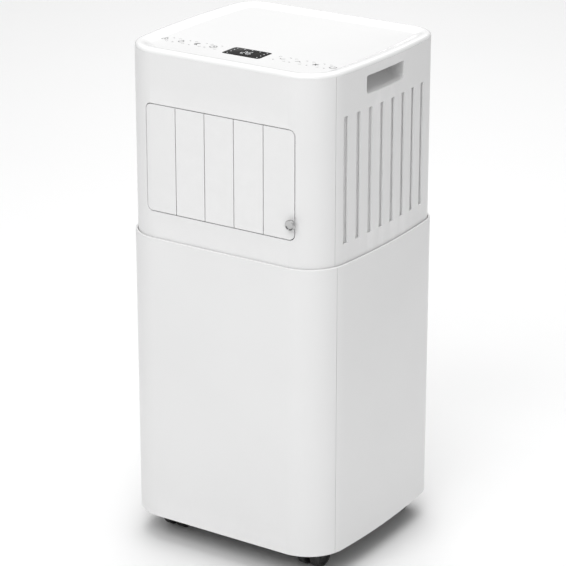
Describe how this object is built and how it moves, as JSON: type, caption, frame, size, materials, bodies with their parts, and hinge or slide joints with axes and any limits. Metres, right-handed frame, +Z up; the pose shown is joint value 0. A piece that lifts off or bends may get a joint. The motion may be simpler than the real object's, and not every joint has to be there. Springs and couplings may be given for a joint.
{
  "type": "dehumidifying air conditioner",
  "caption": "Tall portable white cabinet on casters with a vaned front air outlet, side intake slots, carry handles, a touch panel on top and a rear exhaust collar.",
  "frame": {"origin": "on the floor under the middle of the cabinet", "axes": "+X to the right seen from the front, -Y to the front, +Z up"},
  "size_m": [0.333, 0.312, 0.703],
  "materials": {
    "lid_gloss": "glossy white moulding",
    "display_black": "black polished window",
    "circuit_board": "green solder mask",
    "spring_steel": "bright drawn wire",
    "cabinet_white": "fine satin white moulding",
    "knob_chrome": "polished plating",
    "inner_plastic": "plain moulding",
    "cup_plastic": "satin light grey moulding",
    "filter_mesh": "fine light grey mesh",
    "coil_aluminium": "bare fins",
    "fan_plastic": "glass filled black moulding",
    "motor_steel": "zinc plated",
    "pan_plastic": "dark grey moulding",
    "compressor_black": "satin black paint",
    "rubber_black": "matt",
    "screw_steel": "zinc plated",
    "tube_copper": "bright copper tube",
    "float_foam": "closed cell foam",
    "box_steel": "galvanised sheet",
    "gland_black": "matt black moulding",
    "caster_black": "black moulding",
    "caster_tyre": "matt black"
  },
  "bodies": {
    "cabinet": {"accumulator": "compressor_black", "base_pan": "pan_plastic", "compressor": "compressor_black", "compressor_fasteners": "screw_steel", "compressor_grommets": "rubber_black", "condenser": "coil_aluminium", "condenser_grille": "cabinet_white", "control_board": "circuit_board", "discharge_tube": "tube_copper", "display_window": "display_black", "drain_socket": "cabinet_white", "electrical_box": "box_steel", "electrical_box_cover": "box_steel", "evaporator_left": "coil_aluminium", "evaporator_right": "coil_aluminium", "exhaust_collar": "cabinet_white", "exhaust_panel": "cabinet_white", "front_lower_casing": "cabinet_white", "front_upper_casing": "cabinet_white", "handle_cup_left": "cup_plastic", "handle_cup_right": "cup_plastic", "liquid_tubes": "tube_copper", "lower_fan_motor": "motor_steel", "lower_volute": "inner_plastic", "main_board": "circuit_board", "mains_gland": "gland_black", "outlet_frame": "inner_plastic", "partition_tray": "inner_plastic", "rear_lower_casing": "cabinet_white", "rear_upper_casing": "cabinet_white", "run_capacitor": "motor_steel", "screws": "screw_steel", "side_filter_left": "filter_mesh", "side_filter_right": "filter_mesh", "splash_motor": "motor_steel", "suction_tube": "tube_copper", "top_lid": "lid_gloss", "touch_springs": "spring_steel", "upper_fan_motor": "motor_steel", "upper_volute": "inner_plastic"},
    "vane_1": {"vane_1": "cabinet_white"},
    "vane_2": {"vane_2": "cabinet_white"},
    "vane_3": {"vane_3": "cabinet_white"},
    "vane_4": {"vane_4": "cabinet_white"},
    "vane_5": {"vane_5": "cabinet_white", "vane_knob": "knob_chrome"},
    "vane_link": {"vane_link_bar": "inner_plastic"},
    "upper_fan": {"upper_fan_wheel": "fan_plastic"},
    "lower_fan": {"lower_fan_wheel": "fan_plastic"},
    "splash_wheel": {"splash_wheel": "fan_plastic"},
    "float": {"float": "float_foam"},
    "drain_plug": {"drain_plug": "rubber_black"},
    "fork_front_left": {"caster_fork_front_left": "caster_black"},
    "wheels_front_left": {"caster_wheels_front_left": "caster_tyre"},
    "fork_front_right": {"caster_fork_front_right": "caster_black"},
    "wheels_front_right": {"caster_wheels_front_right": "caster_tyre"},
    "fork_rear_left": {"caster_fork_rear_left": "caster_black"},
    "wheels_rear_left": {"caster_wheels_rear_left": "caster_tyre"},
    "fork_rear_right": {"caster_fork_rear_right": "caster_black"},
    "wheels_rear_right": {"caster_wheels_rear_right": "caster_tyre"}
  },
  "joints": [
    {"name": "vane_5_turn", "type": "hinge", "parent": "cabinet", "child": "vane_5", "pos_m": [0.09245, -0.142, 0.5561], "axis": [0, 0, -1], "range_deg": [0, 80]},
    {"name": "vane_1_turn", "type": "hinge", "parent": "cabinet", "child": "vane_1", "pos_m": [-0.09245, -0.142, 0.5561], "axis": [0, 0, -1], "range_deg": [0, 80]},
    {"name": "vane_2_turn", "type": "hinge", "parent": "cabinet", "child": "vane_2", "pos_m": [-0.0458, -0.142, 0.5561], "axis": [0, 0, -1], "range_deg": [0, 80]},
    {"name": "vane_3_turn", "type": "hinge", "parent": "cabinet", "child": "vane_3", "pos_m": [0, -0.142, 0.5561], "axis": [0, 0, -1], "range_deg": [0, 80]},
    {"name": "vane_4_turn", "type": "hinge", "parent": "cabinet", "child": "vane_4", "pos_m": [0.0458, -0.142, 0.5561], "axis": [0, 0, -1], "range_deg": [0, 80]},
    {"name": "vane_link_pivot", "type": "hinge", "parent": "vane_5", "child": "vane_link", "pos_m": [0.09245, -0.13, 0.64], "axis": [0, 0, -1], "range_deg": [-80, 0]},
    {"name": "swivel_front_left", "type": "hinge", "parent": "cabinet", "child": "fork_front_left", "pos_m": [-0.112, -0.105, 0.05], "axis": [0, 0, 1], "continuous": true},
    {"name": "roll_front_left", "type": "hinge", "parent": "fork_front_left", "child": "wheels_front_left", "pos_m": [-0.112, -0.091, 0.019], "axis": [1, 0, 0], "continuous": true},
    {"name": "swivel_front_right", "type": "hinge", "parent": "cabinet", "child": "fork_front_right", "pos_m": [0.112, -0.105, 0.05], "axis": [0, 0, 1], "continuous": true},
    {"name": "roll_front_right", "type": "hinge", "parent": "fork_front_right", "child": "wheels_front_right", "pos_m": [0.112, -0.091, 0.019], "axis": [1, 0, 0], "continuous": true},
    {"name": "swivel_rear_left", "type": "hinge", "parent": "cabinet", "child": "fork_rear_left", "pos_m": [-0.112, 0.105, 0.05], "axis": [0, 0, 1], "continuous": true},
    {"name": "roll_rear_left", "type": "hinge", "parent": "fork_rear_left", "child": "wheels_rear_left", "pos_m": [-0.112, 0.119, 0.019], "axis": [1, 0, 0], "continuous": true},
    {"name": "swivel_rear_right", "type": "hinge", "parent": "cabinet", "child": "fork_rear_right", "pos_m": [0.112, 0.105, 0.05], "axis": [0, 0, 1], "continuous": true},
    {"name": "roll_rear_right", "type": "hinge", "parent": "fork_rear_right", "child": "wheels_rear_right", "pos_m": [0.112, 0.119, 0.019], "axis": [1, 0, 0], "continuous": true},
    {"name": "upper_fan_spin", "type": "hinge", "parent": "cabinet", "child": "upper_fan", "pos_m": [0, 0.018, 0.548], "axis": [1, 0, 0], "continuous": true},
    {"name": "lower_fan_spin", "type": "hinge", "parent": "cabinet", "child": "lower_fan", "pos_m": [-0.008, -0.005, 0.346], "axis": [0, 0, 1], "continuous": true},
    {"name": "splash_spin", "type": "hinge", "parent": "cabinet", "child": "splash_wheel", "pos_m": [0.06, 0.086, 0.092], "axis": [0, 1, 0], "continuous": true},
    {"name": "float_rise", "type": "slide", "parent": "cabinet", "child": "float", "axis": [0, 0, 1], "range_m": [0, 0.02]},
    {"name": "drain_plug_pull", "type": "slide", "parent": "cabinet", "child": "drain_plug", "axis": [0, 1, 0], "range_m": [0, 0.03]}
  ],
  "couplings": [
    {"joint": "vane_1_turn", "follows": "vane_5_turn", "ratio": 1},
    {"joint": "vane_2_turn", "follows": "vane_5_turn", "ratio": 1},
    {"joint": "vane_3_turn", "follows": "vane_5_turn", "ratio": 1},
    {"joint": "vane_4_turn", "follows": "vane_5_turn", "ratio": 1},
    {"joint": "vane_link_pivot", "follows": "vane_5_turn", "ratio": -1}
  ]
}
